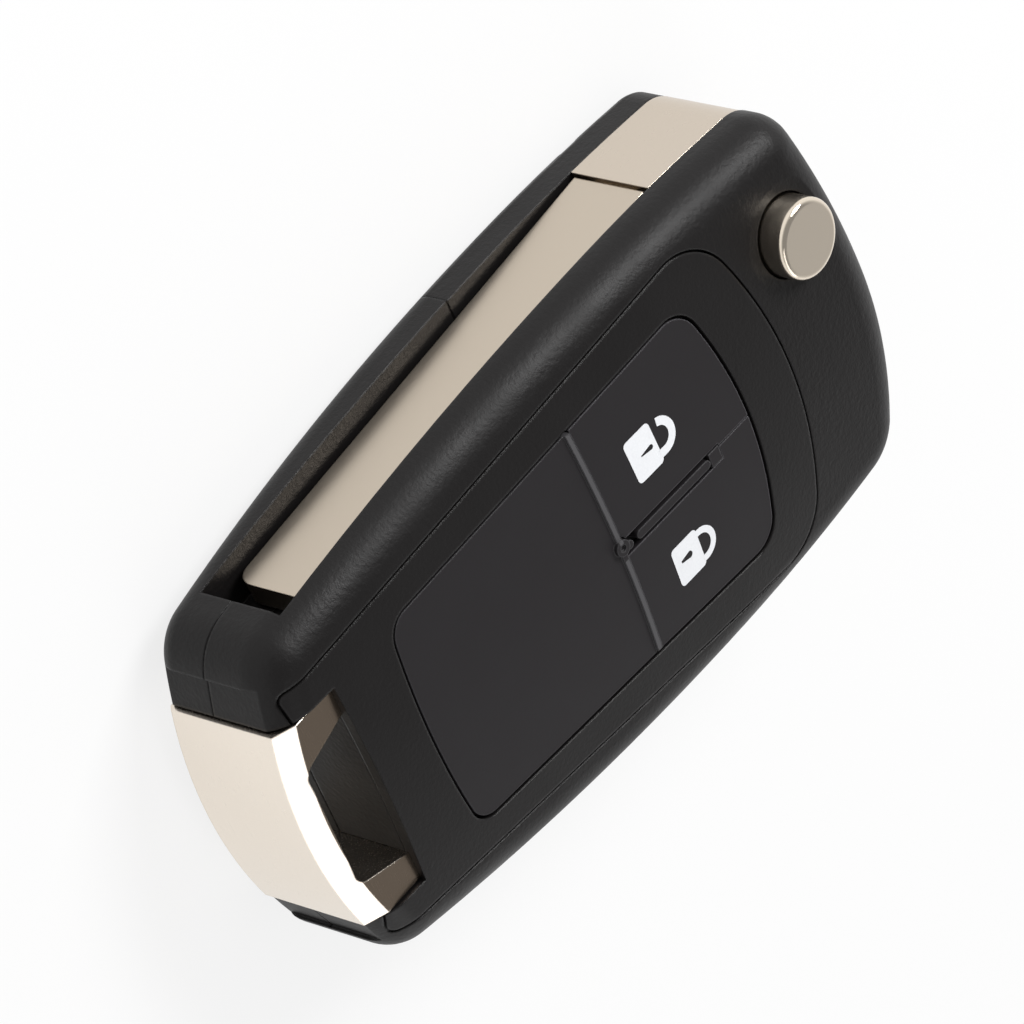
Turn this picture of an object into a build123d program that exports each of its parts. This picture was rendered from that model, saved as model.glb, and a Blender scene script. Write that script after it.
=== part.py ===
"""Folding key fob shell: a two-button remote key case with an uncut side-folding blade.

The case lies on its back with its buttons up. X runs across it, Y along it toward the flip head,
and the origin is under the middle of the case. Sizes are in millimetres.
"""
from build123d import *
from math import asin, cos, radians, sin, sqrt, tan
import os

os.makedirs("parts", exist_ok=True)

# Case outline, seen from the button side
case_length = 73.85
case_width = 39.4
case_thickness = 18.8
ring_arc_rise = 3.75
ring_corner_radius = 4.7

# The blade side runs straighter to a squarer head corner than the free side
blade_side_widest_y = 13.0
blade_side_head_taper = 1.3
blade_side_head_rise = 1.65
blade_side_head_radius = 4.2
blade_side_ring_taper = 2.8
free_side_widest_y = 4.0
free_side_head_taper = 2.1
free_side_head_rise = 3.6
free_side_head_radius = 5.8
free_side_ring_taper = 3.4

# Crowned front face and curved back
crown_radius = 105.0
front_slope = 2.86
brow_radius = 450.0
brow_y = 32.5
heel_y = 8.0
heel_radius = 440.0
shoulder_radius = 4.0
back_edge_radius = 2.2

# Walls and seams
wall = 1.5
roof = 2.4
partition = 1.3
parting_z = 7.6
back_seam_y = 5.0
cover_step = 0.1
seam = 0.1
groove = 0.22
running_gap = 0.08

# Flip axis, and the slot that the folded blade lies in
pivot_inset = 10.1
pivot_setback = 7.7
slot_bottom = 4.0
slot_top = 12.7
slot_end_room = 3.0
swing_gap = 0.35

# Flip head and uncut blade, measured from the flip axis with the blade folded
blade_lean = 3.7
head_recess = 0.08
head_play = 0.1
head_disc_radius = 9.95
head_arm_inner = 6.1
head_arm_outer = 12.0
head_arm_back = 2.0
blade_shoulder = 6.6
blade_seam = 0.3
blade_tip_room = 11.8
blade_face = 10.0
blade_thickness = 2.3
blade_width = 7.6
blade_tip_radius = 1.6
tang_start = 1.6
tang_thickness = 1.6
tang_width = 4.6
tang_root = 1.0
blade_pin_diameter = 0.8
blade_pin_length = 7.0

# Release button, spring and the bearing of the flip head
button_cap_diameter = 7.0
button_cap_height = 1.75
button_rim = 0.5
button_travel = 1.5
button_bore_gap = 0.18
button_collar_diameter = 8.6
button_collar_height = 1.2
button_collar_bore = 9.0
collar_end_play = 0.3
button_dish_depth = 0.35
button_dish_radius = 44.0
button_stem_width = 4.2
button_stem_corner = 0.7
stem_foot_gap = 0.4
stem_well_diameter = 6.3
stem_well_depth = 1.0
spigot_diameter = 9.0
spigot_length = 1.3
bush_diameter = 11.4
bush_length = 1.5
spring_pocket_diameter = 8.2
spring_diameter = 7.5
spring_wire = 0.8
spring_turns = 4.0
spring_relief = 0.008
head_web = 1.5

# Front panel and rubber button pad
panel_thickness = 1.2
panel_backing = 0.5
panel_head_margin = 3.0
panel_head_setback = 16.6
panel_head_rise = 3.3
panel_head_radius = 5.5
panel_ring_margin = 6.75
panel_ring_setback = 3.3
panel_ring_radius = 0.8
pad_head_margin = 4.15
pad_head_setback = 4.45
pad_head_rise = 1.8
pad_head_radius = 2.8
pad_ring_margin = 2.1
pad_ring_setback = 11.55
pad_ring_rise = 1.13
pad_ring_radius = 2.3
pad_gap = 0.3
pad_sink = 0.1
pad_flange = 0.9
pad_flange_thickness = 0.8
pad_window_gap = 0.3
button_stroke = 0.3
button_spare = 0.05
key_gap = 0.12
rib_height = 0.18
divider_y = 0.65
divider_width = 0.6
channel_x = 0.8
channel_width = 1.6
channel_end_y = 13.7
rail_width = 0.8
rail_start_y = 2.6
rail_end_y = 12.2
stop_length = 1.3
nub_diameter = 1.5
nub_bore = 0.6
nub_height = 0.4
bump_diameter = 0.8
key_seam_x = 0.3
frame_thickness = 0.8
frame_inset = 1.0

# Key ring bail
bail_half = 10.4
bail_top = 15.2
bail_bottom = 2.6
bail_bar_depth = 2.1
bail_bevel_height = 1.1
bail_bevel_depth = 1.9
bail_foot_bevel = 0.4
bail_arm_at_lip = 2.75
bail_arm_at_bar = 4.3
bail_corner_radius = 1.2
bail_gap = 0.2
ring_slot_length = 5.6
tongue_length = 3.0
tongue_root = 0.4
tongue_inset = 0.3
tongue_wall = 0.4
tongue_bottom = 5.5
tongue_top = 12.7
bail_pin_diameter = 1.4
bail_pin_length = 8.4
pin_hole_depth = 1.2
collar_margin = 3.5
collar_depth = 0.35
collar_length = 1.0
ring_block_thickness = 3.8

# Inner board tray and case screw
tray_top = 12.1
tray_height = 3.4
tray_wall = 1.0
tray_gap = 0.3
tray_head_y = -2.5
ledge_setback = 0.4
screw_inset = 4.1
screw_y = 2.0
screw_diameter = 1.8
screw_length = 5.0
screw_head_diameter = 3.4
screw_head_height = 0.8
screw_slot_width = 0.4
screw_slot_length = 2.0
screw_slot_depth = 0.4
screw_end_gap = 0.5
boss_diameter = 4.0
lug_thickness = 1.4
lug_length = 7.0
lug_root = 3.0
lug_gap = 0.2

# Worked out from the sizes above
half_length = case_length / 2
half_width = case_width / 2
reach = case_length * 0.65
pivot_x = pivot_inset - half_width
pivot_y = half_length - pivot_setback
blade_tip = (half_length + pivot_y - blade_tip_room) / cos(radians(blade_lean))
panel_head_half = half_width - panel_head_margin
panel_head_y = half_length - panel_head_setback
panel_ring_half = half_width - panel_ring_margin
panel_ring_y = panel_ring_setback - half_length
pad_head_half = panel_head_half - pad_head_margin
pad_head_y = panel_head_y - pad_head_setback
pad_ring_half = panel_ring_half - pad_ring_margin
pad_ring_y = panel_ring_y + pad_ring_setback
bail_bar_y = bail_bar_depth - half_length
lip_y = bail_bar_y + ring_slot_length
tongue_outer = bail_half - tongue_inset
tongue_inner = tongue_outer - bail_pin_diameter - 2 * tongue_wall
collar_half = bail_half + collar_margin
ring_block_y = lip_y + ring_block_thickness
screw_x = half_width - screw_inset
blade_back = blade_face - blade_thickness
tang_middle = blade_back + tang_thickness / 2
tang_end = blade_shoulder + tang_root
head_bottom = slot_bottom + head_play
head_height = slot_top - slot_bottom - 2 * head_play
head_middle = head_bottom + head_height / 2
collar_top = slot_top + button_travel + button_collar_height + collar_end_play
collar_bottom = collar_top - button_collar_height
cap_top = case_thickness + button_cap_height
bush_bottom = slot_bottom - bush_length
window_grow = pad_gap + pad_flange + pad_window_gap
lug_bottom = wall + lug_gap + screw_head_height
boss_bottom = lug_bottom + lug_thickness


def flip_point(along, out):
    """Plan point at a distance along the folded blade and out from the flip axis."""
    lean = radians(blade_lean)
    return (
        pivot_x + along * sin(lean) - out * cos(lean),
        pivot_y - along * cos(lean) - out * sin(lean),
    )


def case_plan(inset=0.0):
    """Plan outline of the closed case, drawn in by inset."""
    ring_corner_y = ring_arc_rise - half_length
    blade_head = (blade_side_head_taper - half_width, half_length - blade_side_head_rise)
    free_head = (half_width - free_side_head_taper, half_length - free_side_head_rise)
    blade_ring = (blade_side_ring_taper - half_width, ring_corner_y)
    free_ring = (half_width - free_side_ring_taper, ring_corner_y)
    with BuildSketch() as plan:
        with BuildLine():
            TangentArc((0, half_length), blade_head, tangent=(-1, 0))
            TangentArc((0, half_length), free_head, tangent=(1, 0))
            TangentArc((-half_width, blade_side_widest_y), blade_head, tangent=(0, 1))
            TangentArc((-half_width, blade_side_widest_y), blade_ring, tangent=(0, -1))
            TangentArc((half_width, free_side_widest_y), free_head, tangent=(0, 1))
            TangentArc((half_width, free_side_widest_y), free_ring, tangent=(0, -1))
            ThreePointArc(blade_ring, (0, -half_length), free_ring)
        make_face()
        if inset > 0:
            offset(amount=-inset)
        fillet(plan.vertices().sort_by(Axis.Y)[:2], ring_corner_radius - inset)
        fillet(plan.vertices().sort_by(Axis.Y)[-3], free_side_head_radius - inset)
        fillet(plan.vertices().sort_by(Axis.Y)[-2], blade_side_head_radius - inset)
    return plan.sketch


def shield_plan(head_half, head_y, head_rise, ring_half, ring_y, ring_rise, head_radius, ring_radius, grow=0.0):
    """Tapered plan with bowed ends, as the front panel and the pad have."""
    with BuildSketch() as plan:
        with BuildLine():
            ThreePointArc((-head_half, head_y), (0, head_y + head_rise), (head_half, head_y))
            Line((head_half, head_y), (ring_half, ring_y))
            if ring_rise > 0:
                ThreePointArc((ring_half, ring_y), (0, ring_y - ring_rise), (-ring_half, ring_y))
            else:
                Line((ring_half, ring_y), (-ring_half, ring_y))
            Line((-ring_half, ring_y), (-head_half, head_y))
        make_face()
        if abs(grow) > 0:
            offset(amount=grow, kind=Kind.INTERSECTION)
        fillet(plan.vertices().group_by(Axis.Y)[-1], head_radius + grow)
        fillet(plan.vertices().group_by(Axis.Y)[0], ring_radius + grow)
    return plan.sketch


def panel_plan(grow=0.0):
    """Outline of the front panel."""
    return shield_plan(
        panel_head_half, panel_head_y, panel_head_rise,
        panel_ring_half, panel_ring_y, 0.0,
        panel_head_radius, panel_ring_radius, grow,
    )


def pad_plan(grow=0.0):
    """Outline of the visible rubber pad."""
    return shield_plan(
        pad_head_half, pad_head_y, pad_head_rise,
        pad_ring_half, pad_ring_y, pad_ring_rise,
        pad_head_radius, pad_ring_radius, grow,
    )


def arm_plan(start, end, inner, outer):
    """Plan strip along the folded blade between two distances from the flip axis."""
    with BuildSketch() as plan:
        with BuildLine():
            Polyline(
                flip_point(start, inner),
                flip_point(end, inner),
                flip_point(end, outer),
                flip_point(start, outer),
                close=True,
            )
        make_face()
    return plan.sketch


def flip_space(grow=0.0):
    """Plan of the room that the folded blade, the flip head and their swing need."""
    gap = swing_gap + grow
    corner_x = pivot_x + blade_face + head_play + gap
    corner_y = pivot_y - head_arm_back - gap
    with BuildSketch() as space:
        add(arm_plan(0, blade_tip + slot_end_room + grow, blade_back - gap, reach))
        add(arm_plan(0, blade_shoulder + gap, head_arm_inner - gap, reach))
        with Locations((pivot_x, pivot_y)):
            Circle(head_disc_radius + gap)
        with Locations((corner_x, corner_y)):
            Rectangle(2 * reach, 2 * reach, align=(Align.MAX, Align.MIN))
    return space.sketch


def bay_plan(shrink=0.0):
    """Plan of the empty bay for the circuit board and battery, drawn in by shrink."""
    with BuildSketch() as bay:
        add(case_plan(wall + shrink))
        add(flip_space(partition + shrink), mode=Mode.SUBTRACT)
        with Locations((0, ring_block_y + shrink)):
            Rectangle(2 * reach, reach, align=(Align.CENTER, Align.MAX), mode=Mode.SUBTRACT)
    return bay.sketch


def below_front(depth):
    """Everything under the crowned front face, lowered by depth."""
    slope = radians(front_slope)
    knee_y = brow_y - brow_radius * sin(slope)
    knee_z = case_thickness - brow_radius * (1 - cos(slope)) - depth
    ring_z = knee_z - (knee_y + reach) * tan(slope)
    head_z = case_thickness - brow_radius + sqrt(brow_radius**2 - (reach - brow_y) ** 2) - depth
    sag = crown_radius - sqrt(crown_radius**2 - reach**2)
    with BuildPart() as under:
        with BuildLine(Plane.YZ) as ridge:
            Line((-reach, ring_z), (knee_y, knee_z))
            ThreePointArc((knee_y, knee_z), (brow_y, case_thickness - depth), (reach, head_z))
        with BuildSketch(Plane(origin=ridge.line @ 0, x_dir=(1, 0, 0), z_dir=ridge.line % 0)):
            with BuildLine():
                ThreePointArc((-reach, sag), (0, 0), (reach, sag))
                Polyline((reach, sag), (reach, reach), (-reach, reach), (-reach, sag))
            make_face()
        sweep(path=ridge.line)
    return under.part


def above_back(depth):
    """Everything over the back face, raised by depth."""
    middle_y = (heel_y - reach) / 2
    ring_z = heel_radius - sqrt(heel_radius**2 - (reach + heel_y) ** 2) + depth
    middle_z = heel_radius - sqrt(heel_radius**2 - (middle_y - heel_y) ** 2) + depth
    with BuildPart() as over:
        with BuildSketch(Plane.YZ):
            with BuildLine():
                ThreePointArc((-reach, ring_z), (middle_y, middle_z), (heel_y, depth))
                Polyline((heel_y, depth), (reach, depth), (reach, reach), (-reach, reach), (-reach, ring_z))
            make_face()
        extrude(amount=reach, both=True)
    return over.part


def rim_edges(form, lowest, highest):
    """Edges of the upright walls of a form whose middles lie between two heights."""
    walls = form.faces().filter_by(lambda face: abs(face.normal_at(face.center()).Z) < 0.1)
    found = {}
    for upright in walls:
        for edge in upright.edges():
            if lowest < edge.center().Z < highest:
                found[hash(edge)] = edge
    return list(found.values())


def case_form():
    """The closed case as one solid, with its rounded shoulders and back edge."""
    with BuildPart() as form:
        with BuildSketch():
            add(case_plan())
        extrude(amount=reach)
        add(below_front(0.0), mode=Mode.INTERSECT)
        add(above_back(0.0), mode=Mode.INTERSECT)
        fillet(rim_edges(form, slot_top, reach), shoulder_radius)
        fillet(rim_edges(form, -back_edge_radius, parting_z - back_edge_radius), back_edge_radius)
    return form.part


def column(plan, bottom, top):
    """A plan sketch raised into a solid between two heights."""
    with BuildPart() as solid:
        with BuildSketch(Plane.XY.offset(bottom)):
            add(plan)
        extrude(amount=top - bottom)
    return solid.part


def ring_opening(gap=0.0):
    """Plan of the gap in the ring end that the bail fills."""
    with BuildSketch() as opening:
        with Locations((0, lip_y)):
            Rectangle(2 * (bail_half + gap), reach, align=(Align.CENTER, Align.MAX))
    return opening.sketch


def tongue_plan(grow=0.0):
    """Plan of the two tongues that hold the bail in the case."""
    length = tongue_length + grow
    with BuildSketch() as plan:
        for side in (-1, 1):
            with Locations((side * (tongue_inner + tongue_outer) / 2, lip_y + (length - tongue_root) / 2)):
                Rectangle(tongue_outer - tongue_inner + 2 * grow, length + tongue_root)
    return plan.sketch


def pin_places():
    """Plan places of the two bail pins."""
    middle = (tongue_inner + tongue_outer) / 2
    return [(-middle, lip_y + tongue_length / 2), (middle, lip_y + tongue_length / 2)]


def neck():
    """The shallow neck cut round the ring end, where the bail meets the case."""
    with BuildPart() as cut:
        with BuildSketch():
            with Locations((0, ring_arc_rise - half_length + collar_length)):
                Rectangle(2 * collar_half, reach, align=(Align.CENTER, Align.MAX))
            add(case_plan(collar_depth), mode=Mode.SUBTRACT)
        extrude(amount=reach)
    return cut.part


def dish_centre():
    """Centre of the ball that dishes the crowned face round the release button."""
    rise = button_dish_radius - button_dish_depth
    lean = asin(pivot_x / crown_radius)
    face_z = case_thickness - crown_radius * (1 - cos(lean))
    return (pivot_x + rise * sin(lean), pivot_y, face_z + rise * cos(lean))


def release_bore():
    """Stepped bore of the release button through the front shell, dished at the face."""
    with BuildPart() as bore:
        with BuildSketch(Plane.XY.offset(slot_top - seam)):
            with Locations((pivot_x, pivot_y)):
                Circle(button_collar_bore / 2)
        extrude(amount=collar_top - slot_top + 2 * seam)
        with BuildSketch(Plane.XY.offset(slot_top)):
            with Locations((pivot_x, pivot_y)):
                Circle(button_cap_diameter / 2 + button_bore_gap)
        extrude(amount=reach)
        with Locations(dish_centre()):
            Sphere(button_dish_radius)
    return bore.part


case = case_form()
bay = bay_plan()
flip_room = column(flip_space(), slot_bottom, slot_top)


def tray_ledge():
    """Rib under the roof that the board tray is pressed against."""
    with BuildSketch() as plan:
        add(bay_plan())
        add(bay_plan(tray_gap + tray_wall), mode=Mode.SUBTRACT)
        add(pad_plan(window_grow + ledge_setback), mode=Mode.SUBTRACT)
        with Locations((0, tray_head_y)):
            Rectangle(2 * reach, reach, align=(Align.CENTER, Align.MIN), mode=Mode.SUBTRACT)
    return column(plan.sketch, tray_top, reach) & below_front(panel_thickness + panel_backing)


def screw_boss():
    """Boss that takes the case screw."""
    with BuildSketch() as plan:
        with Locations((screw_x, screw_y)):
            Circle(boss_diameter / 2)
    return column(plan.sketch, boss_bottom, reach) & below_front(panel_thickness + panel_backing)


# Front shell: the button side of the case, with the panel recess and half of the blade slot
with BuildPart() as front_shell:
    add(case)
    split(bisect_by=Plane.XY.offset(parting_z), keep=Keep.TOP)
    add(flip_room, mode=Mode.SUBTRACT)
    add(column(bay, 0, reach) & below_front(roof), mode=Mode.SUBTRACT)
    add(tray_ledge())
    add(screw_boss())
    add(column(panel_plan(groove), parting_z, reach) - below_front(panel_thickness), mode=Mode.SUBTRACT)
    add(column(pad_plan(window_grow), slot_bottom, reach), mode=Mode.SUBTRACT)
    add(column(ring_opening(bail_gap), 0, reach), mode=Mode.SUBTRACT)
    add(column(tongue_plan(bail_gap), 0, tongue_top + bail_gap), mode=Mode.SUBTRACT)
    add(neck(), mode=Mode.SUBTRACT)
    add(release_bore(), mode=Mode.SUBTRACT)
    with BuildSketch(Plane.XY.offset(tongue_top)):
        with Locations(pin_places()):
            Circle(bail_pin_diameter / 2)
    extrude(amount=pin_hole_depth, mode=Mode.SUBTRACT)
    with BuildSketch(Plane.XY.offset(boss_bottom)):
        with Locations((screw_x, screw_y)):
            Circle(screw_diameter / 2)
    extrude(amount=screw_length, mode=Mode.SUBTRACT)
front_shell.part.label = "front_shell"
export_step(front_shell.part, "parts/front_shell.step")

# Rear shell: the back of the case beside the flip head, with the lug for the case screw
with BuildPart() as rear_shell:
    add(case)
    split(bisect_by=Plane.XY.offset(parting_z), keep=Keep.BOTTOM)
    split(bisect_by=Plane.XZ.offset(-back_seam_y), keep=Keep.BOTTOM)
    add(column(case_plan(cover_step), -1, reach), mode=Mode.INTERSECT)
    add(flip_room, mode=Mode.SUBTRACT)
    add(column(bay, 0, reach) & above_back(wall), mode=Mode.SUBTRACT)
    with BuildSketch(Plane.XY.offset(slot_bottom)):
        with Locations((pivot_x, pivot_y)):
            Circle(bush_diameter / 2)
    extrude(amount=-bush_length, mode=Mode.SUBTRACT)
    with BuildSketch(Plane.XY.offset(bush_bottom)):
        with Locations((pivot_x, pivot_y)):
            Circle(stem_well_diameter / 2)
    extrude(amount=-stem_well_depth, mode=Mode.SUBTRACT)
    with BuildSketch(Plane.XY.offset(wall)):
        with Locations((screw_x, back_seam_y)):
            Rectangle(boss_diameter, lug_root, align=(Align.CENTER, Align.MIN))
    extrude(amount=boss_bottom - wall)
    with BuildSketch(Plane.XY.offset(lug_bottom)):
        with Locations((screw_x, back_seam_y + lug_root)):
            Rectangle(boss_diameter, lug_length + lug_root / 2, align=(Align.CENTER, Align.MAX))
    extrude(amount=lug_thickness)
    with BuildSketch(Plane.XY.offset(lug_bottom)):
        with Locations((screw_x, screw_y)):
            Circle(screw_diameter / 2 + running_gap)
    extrude(amount=lug_thickness, mode=Mode.SUBTRACT)
rear_shell.part.label = "rear_shell"
export_step(rear_shell.part, "parts/rear_shell.step")

# Battery cover: the back of the case toward the key ring, snapped under the front shell
with BuildPart() as battery_cover:
    add(case)
    split(bisect_by=Plane.XY.offset(parting_z - seam), keep=Keep.BOTTOM)
    split(bisect_by=Plane.XZ.offset(seam - back_seam_y), keep=Keep.TOP)
    add(flip_room, mode=Mode.SUBTRACT)
    add(column(bay, 0, reach) & above_back(wall), mode=Mode.SUBTRACT)
    add(column(ring_opening(bail_gap), -1, reach), mode=Mode.SUBTRACT)
    add(column(tongue_plan(bail_gap), tongue_bottom - bail_gap, reach), mode=Mode.SUBTRACT)
    add(neck(), mode=Mode.SUBTRACT)
battery_cover.part.label = "battery_cover"
export_step(battery_cover.part, "parts/battery_cover.step")

# Front panel: the plate set flush in the front shell, with the pad window
with BuildPart() as front_panel:
    add(case)
    add(column(panel_plan(), parting_z, reach), mode=Mode.INTERSECT)
    add(below_front(panel_thickness), mode=Mode.SUBTRACT)
    add(column(pad_plan(pad_gap), parting_z, reach), mode=Mode.SUBTRACT)
    add(column(ring_opening(bail_gap), 0, reach), mode=Mode.SUBTRACT)
    add(neck(), mode=Mode.SUBTRACT)
front_panel.part.label = "front_panel"
export_step(front_panel.part, "parts/front_panel.step")


def key_field(side):
    """Plan of one button: the part of the pad beside the channel and above the divider."""
    with BuildSketch() as plan:
        add(pad_plan())
        with Locations((0, divider_y + divider_width / 2 + key_gap)):
            Rectangle(2 * reach, 2 * reach, align=(Align.CENTER, Align.MAX), mode=Mode.SUBTRACT)
        with Locations((channel_x, divider_y)):
            Rectangle(
                channel_width,
                channel_end_y - divider_y,
                align=(Align.CENTER, Align.MIN),
                mode=Mode.SUBTRACT,
            )
        with Locations((key_seam_x, divider_y)):
            Circle(nub_diameter / 2 + key_gap, mode=Mode.SUBTRACT)
        far_side = Align.MAX if side > 0 else Align.MIN
        with Locations((key_seam_x + side * key_gap / 2, 0)):
            Rectangle(reach, 2 * reach, align=(far_side, Align.CENTER), mode=Mode.SUBTRACT)
    return plan.sketch


def divider_rib():
    """Plan of the rib between the blank plate and the two buttons."""
    with BuildSketch() as plan:
        with Locations((0, divider_y)):
            Rectangle(2 * reach, divider_width)
        add(pad_plan(-key_gap), mode=Mode.INTERSECT)
    return plan.sketch


def channel_rail():
    """Plan of the rounded rail in the channel between the buttons, and the stop at its end."""
    with BuildSketch() as plan:
        with Locations((channel_x, (rail_start_y + rail_end_y) / 2)):
            SlotOverall(rail_end_y - rail_start_y, rail_width, rotation=90)
        with Locations((channel_x, channel_end_y - key_gap)):
            Rectangle(channel_width - 2 * key_gap, stop_length, align=(Align.CENTER, Align.MAX))
        with Locations((channel_x, (divider_y + rail_start_y) / 2)):
            Circle(bump_diameter / 2)
    return plan.sketch


# Button pad: the rubber web with its blank plate, divider rib, channel rail and nub
with BuildPart() as button_pad:
    add(column(pad_plan(pad_gap + pad_flange), parting_z, reach))
    add(below_front(panel_thickness), mode=Mode.INTERSECT)
    add(below_front(panel_thickness + pad_flange_thickness), mode=Mode.SUBTRACT)
    with BuildSketch() as blank_plan:
        add(pad_plan())
        with Locations((0, divider_y - divider_width / 2)):
            Rectangle(2 * reach, reach, align=(Align.CENTER, Align.MIN), mode=Mode.SUBTRACT)
    with BuildSketch() as nub_plan:
        with Locations((key_seam_x, divider_y)):
            Circle(nub_diameter / 2)
            Circle(nub_bore / 2, mode=Mode.SUBTRACT)
    for raised_plan, raised_by in (
        (blank_plan.sketch, 0.0),
        (divider_rib(), rib_height),
        (channel_rail(), rib_height / 2),
        (nub_plan.sketch, nub_height),
    ):
        raised = column(raised_plan, parting_z, reach) & below_front(pad_sink - raised_by)
        add(raised - below_front(panel_thickness + pad_sink))
button_pad.part.label = "button_pad"
export_step(button_pad.part, "parts/button_pad.step")

# Unlock and lock buttons, one each side of the channel
for button_name, button_side in (("unlock_button", -1), ("lock_button", 1)):
    with BuildPart() as button:
        add(column(key_field(button_side), parting_z, reach))
        add(below_front(pad_sink), mode=Mode.INTERSECT)
        add(below_front(panel_thickness - button_stroke - button_spare), mode=Mode.SUBTRACT)
    button.part.label = button_name
    export_step(button.part, f"parts/{button_name}.step")

# Pad frame: the ring that holds the edge of the pad up against the panel
with BuildPart() as pad_frame:
    add(column(pad_plan(pad_gap + pad_flange), parting_z, reach))
    add(below_front(panel_thickness + pad_flange_thickness), mode=Mode.INTERSECT)
    add(
        below_front(panel_thickness + pad_flange_thickness + frame_thickness),
        mode=Mode.SUBTRACT,
    )
    add(column(pad_plan(-frame_inset), parting_z, reach), mode=Mode.SUBTRACT)
pad_frame.part.label = "pad_frame"
export_step(pad_frame.part, "parts/pad_frame.step")


def bail_window():
    """Plan of the gap for the key ring, between the arms, the bar and the case."""
    with BuildSketch() as plan:
        with BuildLine():
            Polyline(
                (bail_arm_at_lip - bail_half, lip_y),
                (bail_arm_at_bar - bail_half, bail_bar_y),
                (bail_half - bail_arm_at_bar, bail_bar_y),
                (bail_half - bail_arm_at_lip, lip_y),
                close=True,
            )
        make_face()
        fillet(plan.vertices().group_by(Axis.Y)[0], bail_corner_radius)
    return plan.sketch


# Key ring bail: the plated bar and arms that close the ring end
with BuildPart() as keyring_bail:
    with BuildSketch(Plane.XY.offset(bail_bottom)):
        add(case_plan())
        add(ring_opening(), mode=Mode.INTERSECT)
    extrude(amount=bail_top - bail_bottom)
    bail_face = keyring_bail.faces().sort_by(Axis.Z)[-1]
    outer_rim = bail_face.edges().filter_by(GeomType.CIRCLE)
    chamfer(outer_rim, bail_bevel_depth, bail_bevel_height, reference=bail_face)
    bail_foot = keyring_bail.faces().sort_by(Axis.Z)[0]
    chamfer(bail_foot.edges().filter_by(GeomType.CIRCLE), bail_foot_bevel)
    with BuildSketch(Plane.XY.offset(bail_bottom)):
        add(bail_window())
    extrude(amount=bail_top - bail_bottom, mode=Mode.SUBTRACT)
    add(column(tongue_plan(), tongue_bottom, tongue_top))
    with BuildSketch(Plane.XY.offset(tongue_bottom)):
        with Locations(pin_places()):
            Circle(bail_pin_diameter / 2 + running_gap)
    extrude(amount=tongue_top - tongue_bottom, mode=Mode.SUBTRACT)
keyring_bail.part.label = "keyring_bail"
export_step(keyring_bail.part, "parts/keyring_bail.step")

# Two pins that hold the bail in the front shell
with BuildPart() as bail_pins:
    with BuildSketch(Plane.XY.offset(tongue_top + pin_hole_depth)):
        with Locations(pin_places()):
            Circle(bail_pin_diameter / 2)
    extrude(amount=-bail_pin_length)
bail_pins.part.label = "bail_pins"
export_step(bail_pins.part, "parts/bail_pins.step")


pin_place = flip_point((tang_start + blade_shoulder) / 2, tang_middle)

# Flip head: the plated disc and arm that swing the blade out
with BuildPart() as flip_head:
    with BuildSketch(Plane.XY.offset(head_bottom)):
        add(arm_plan(-head_arm_back, blade_shoulder, head_arm_inner, head_arm_outer))
        with Locations((pivot_x, pivot_y)):
            Circle(head_disc_radius)
        add(case_plan(head_recess), mode=Mode.INTERSECT)
    extrude(amount=head_height)
    with BuildSketch(Plane.XY.offset(head_bottom)):
        with Locations((pivot_x, pivot_y)):
            Circle(spigot_diameter / 2)
    extrude(amount=-spigot_length)
    with BuildSketch(Plane.XY.offset(head_bottom + head_web)):
        with Locations((pivot_x, pivot_y)):
            Circle(spring_pocket_diameter / 2)
    extrude(amount=head_height, mode=Mode.SUBTRACT)
    with BuildSketch(Plane.XY.offset(head_bottom - spigot_length)):
        with Locations((pivot_x, pivot_y)):
            socket_width = button_stem_width + 2 * running_gap
            RectangleRounded(socket_width, socket_width, button_stem_corner)
    extrude(amount=head_height, mode=Mode.SUBTRACT)
    tang_gap = running_gap / 2
    socket = arm_plan(
        tang_start - tang_gap,
        tang_end,
        tang_middle - tang_thickness / 2 - tang_gap,
        tang_middle + tang_thickness / 2 + tang_gap,
    )
    tang_low = head_middle - tang_width / 2
    add(column(socket, tang_low - tang_gap, tang_low + tang_width + tang_gap), mode=Mode.SUBTRACT)
    with BuildSketch(Plane.XY.offset(head_middle - blade_pin_length / 2)):
        with Locations(pin_place):
            Circle(blade_pin_diameter / 2)
    extrude(amount=head_height, mode=Mode.SUBTRACT)
flip_head.part.label = "flip_head"
export_step(flip_head.part, "parts/flip_head.step")

# Uncut key blade with the tang that sits in the flip head
with BuildPart() as key_blade:
    with BuildSketch(Plane.XY.offset(head_middle - blade_width / 2)):
        add(arm_plan(blade_shoulder + blade_seam, blade_tip, blade_back, blade_face))
    extrude(amount=blade_width)
    tip_edges = key_blade.faces().sort_by(Axis.Y)[0].edges().filter_by(Plane.XY)
    low_tip = tip_edges.sort_by(Axis.Z)[0]
    fillet(low_tip, blade_tip_radius)
    with BuildSketch(Plane.XY.offset(tang_low)):
        add(
            arm_plan(
                tang_start,
                tang_end,
                tang_middle - tang_thickness / 2,
                tang_middle + tang_thickness / 2,
            )
        )
    extrude(amount=tang_width)
    with BuildSketch(Plane.XY.offset(tang_low)):
        with Locations(pin_place):
            Circle(blade_pin_diameter / 2)
    extrude(amount=tang_width, mode=Mode.SUBTRACT)
key_blade.part.label = "key_blade"
export_step(key_blade.part, "parts/key_blade.step")

# Roll pin through the head and the tang
with BuildPart() as blade_pin:
    with BuildSketch(Plane.XY.offset(head_middle - blade_pin_length / 2)):
        with Locations(pin_place):
            Circle(blade_pin_diameter / 2)
    extrude(amount=blade_pin_length)
blade_pin.part.label = "blade_pin"
export_step(blade_pin.part, "parts/blade_pin.step")

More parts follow.
